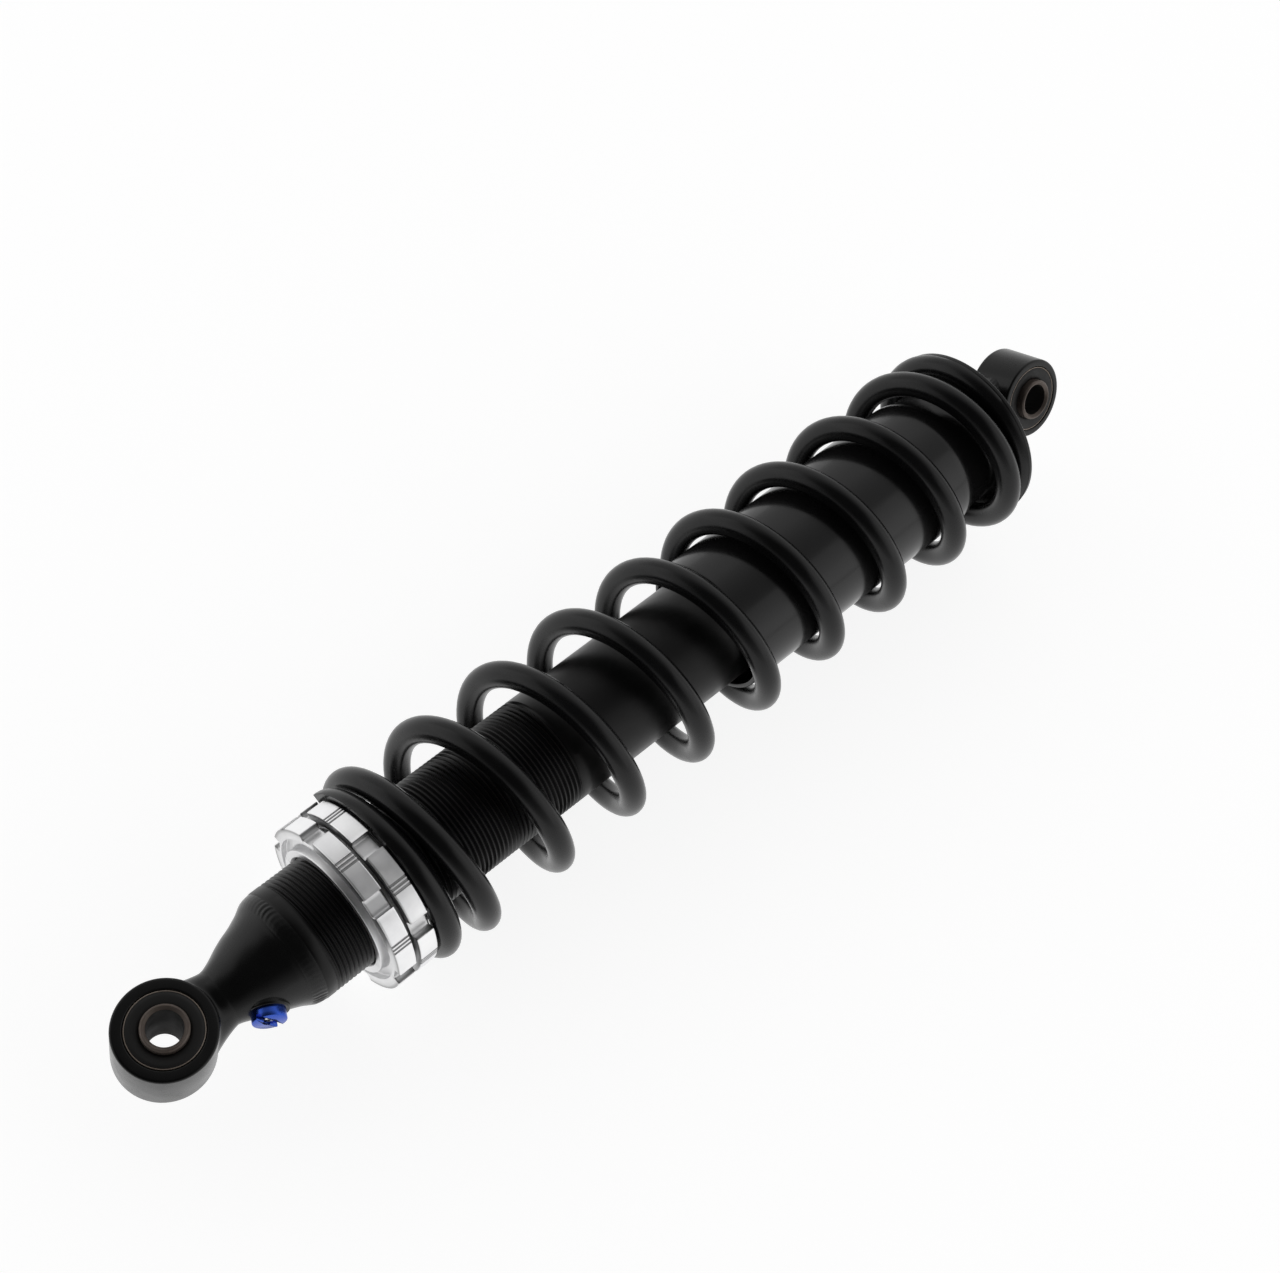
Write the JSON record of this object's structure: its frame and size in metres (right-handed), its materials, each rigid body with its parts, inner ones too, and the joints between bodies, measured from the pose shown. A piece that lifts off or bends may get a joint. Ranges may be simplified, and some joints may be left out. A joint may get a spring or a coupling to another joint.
{
  "type": "rear shock",
  "caption": "Coil-over rear shock: a threaded damper with spring, castellated preload collars, guide tube and rubber-bushed eyes turned to each other.",
  "frame": {"origin": "centre of the lower eye's bolt bore, midway along its width", "axes": "+X along the shock from the lower eye to the upper eye, +Z along the lower eye's bore, +Y completes a right-handed set"},
  "size_m": [0.3777, 0.0624, 0.0626],
  "materials": {
    "black_paint": "satin",
    "tube_black": "satin",
    "spring_black": "gloss",
    "shell_steel": "satin",
    "sleeve_steel": "satin",
    "bush_rubber": "matte",
    "seal_rubber": "matte",
    "collar_aluminium": "machined",
    "head_aluminium": "machined",
    "blue_anodised": "anodised",
    "bright_steel": "satin",
    "rod_chrome": "polished",
    "bush_bronze": "satin",
    "band_plastic": "matte",
    "guide_plastic": "semi-gloss",
    "foam": "matte"
  },
  "bodies": {
    "damper_body": {"end_cap": "black_paint", "end_cap_weld": "black_paint", "damper_tube": "tube_black", "lower_bush_shell": "shell_steel", "lower_bush_rubber": "bush_rubber", "charge_port_plug": "blue_anodised", "charge_port_screw": "bright_steel", "charge_port_pellet": "seal_rubber", "seal_head": "head_aluminium", "rod_bush": "bush_bronze", "rod_seal": "seal_rubber", "dust_wiper": "seal_rubber", "seal_head_ring": "seal_rubber", "seal_head_clip": "bright_steel"},
    "lower_sleeve": {"lower_bush_sleeve": "sleeve_steel"},
    "gas_piston": {"floating_piston": "head_aluminium", "floating_piston_ring": "seal_rubber", "floating_piston_band": "band_plastic"},
    "spring": {"coil_spring": "spring_black"},
    "preload_ring": {"preload_collar": "collar_aluminium"},
    "lock_ring": {"lock_collar": "collar_aluminium"},
    "loose_stop": {"bump_stop": "foam"},
    "rod_assembly": {"piston_rod": "rod_chrome", "piston": "head_aluminium", "piston_band": "band_plastic", "compression_shims": "bright_steel", "rebound_shims": "bright_steel", "piston_nut": "bright_steel", "top_out_bumper": "seal_rubber", "rod_lock_nut": "bright_steel", "spring_retainer": "black_paint", "guide_tube": "guide_plastic", "upper_eye_boss": "black_paint", "upper_eye_weld": "black_paint", "upper_eye": "black_paint", "upper_bush_shell": "shell_steel", "upper_bush_rubber": "bush_rubber"},
    "upper_sleeve": {"upper_bush_sleeve": "sleeve_steel"}
  },
  "joints": [
    {"name": "damper_stroke", "type": "slide", "parent": "damper_body", "child": "loose_stop", "axis": [-1, 0, 0], "range_m": [0, 0.08], "stiffness_N_per_m": 29000, "springref_m": -0.005, "deforming": ["coil_spring"]},
    {"name": "rod_swivel", "type": "hinge", "parent": "loose_stop", "child": "rod_assembly", "pos_m": [0.3, 0, 0], "axis": [1, 0, 0], "continuous": true},
    {"name": "gas_piston_travel", "type": "slide", "parent": "damper_body", "child": "gas_piston", "axis": [-1, 0, 0], "range_m": [0, 0.0128]},
    {"name": "preload_travel", "type": "slide", "parent": "damper_body", "child": "spring", "axis": [1, 0, 0], "range_m": [-0.012, 0]},
    {"name": "preload_turn", "type": "hinge", "parent": "spring", "child": "preload_ring", "pos_m": [0.069, 0, 0], "axis": [1, 0, 0], "range_deg": [-2880, 0]},
    {"name": "lock_turn", "type": "hinge", "parent": "spring", "child": "lock_ring", "pos_m": [0.0613, 0, 0], "axis": [1, 0, 0], "range_deg": [-2880, 0]},
    {"name": "lower_sleeve_twist", "type": "hinge", "parent": "damper_body", "child": "lower_sleeve", "pos_m": [0, 0, 0], "axis": [0, 0, 1], "range_deg": [-20, 20], "stiffness_Nm_per_rad": 8},
    {"name": "upper_sleeve_twist", "type": "hinge", "parent": "rod_assembly", "child": "upper_sleeve", "pos_m": [0.35, 0, 0], "axis": [0, -0.8192, 0.5736], "range_deg": [-20, 20], "stiffness_Nm_per_rad": 7}
  ],
  "couplings": [
    {"joint": "gas_piston_travel", "follows": "damper_stroke", "ratio": 0.16},
    {"joint": "preload_turn", "follows": "preload_travel", "rad_per_m": 4188.8},
    {"joint": "lock_turn", "follows": "preload_travel", "rad_per_m": 4188.8}
  ]
}
